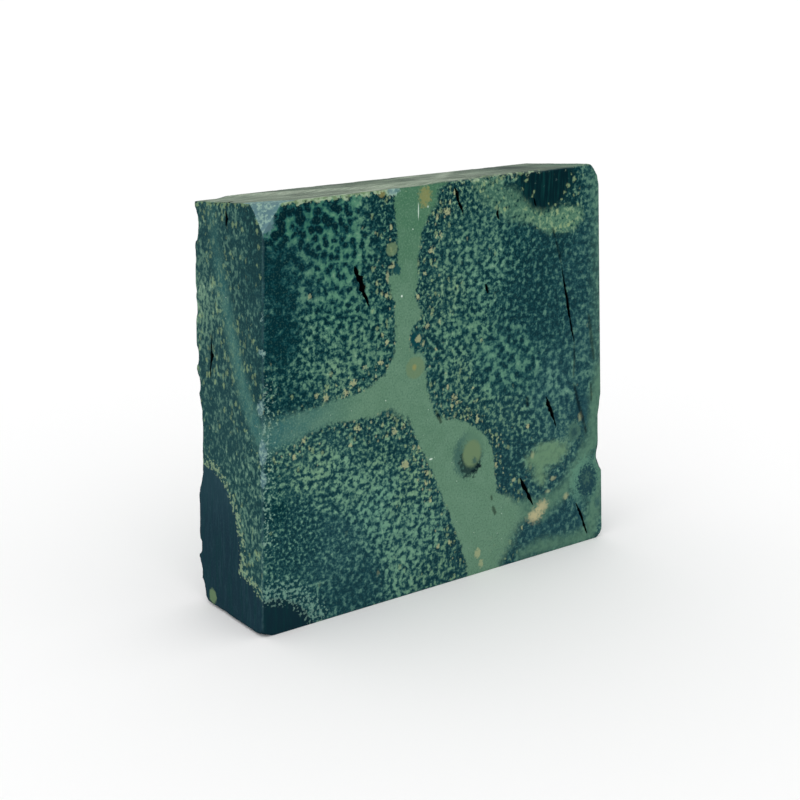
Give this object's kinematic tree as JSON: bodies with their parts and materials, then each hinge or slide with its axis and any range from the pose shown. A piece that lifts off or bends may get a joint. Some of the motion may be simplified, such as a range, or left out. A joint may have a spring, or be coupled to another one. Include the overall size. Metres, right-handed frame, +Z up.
{
  "type": "kambaba jasper slab",
  "caption": "Upright hand-cut slab of green orbicular jasper with one polished face, sawn back and sides, a rolled edge and chipped corners; a display stone or bookend.",
  "frame": {"origin": "centre of the stone's bounding box, on the plane that it stands on", "axes": "+X along the width of the polished face to its right, +Y from the polished face to the back, +Z up"},
  "size_m": [0.0882, 0.024, 0.0819],
  "materials": {
    "jasper": "dark blue-green stone with mint-green mottles and veins, polished on the front face and matt where it is sawn"
  },
  "bodies": {
    "root": {"stone_slab": "jasper"}
  },
  "joints": []
}
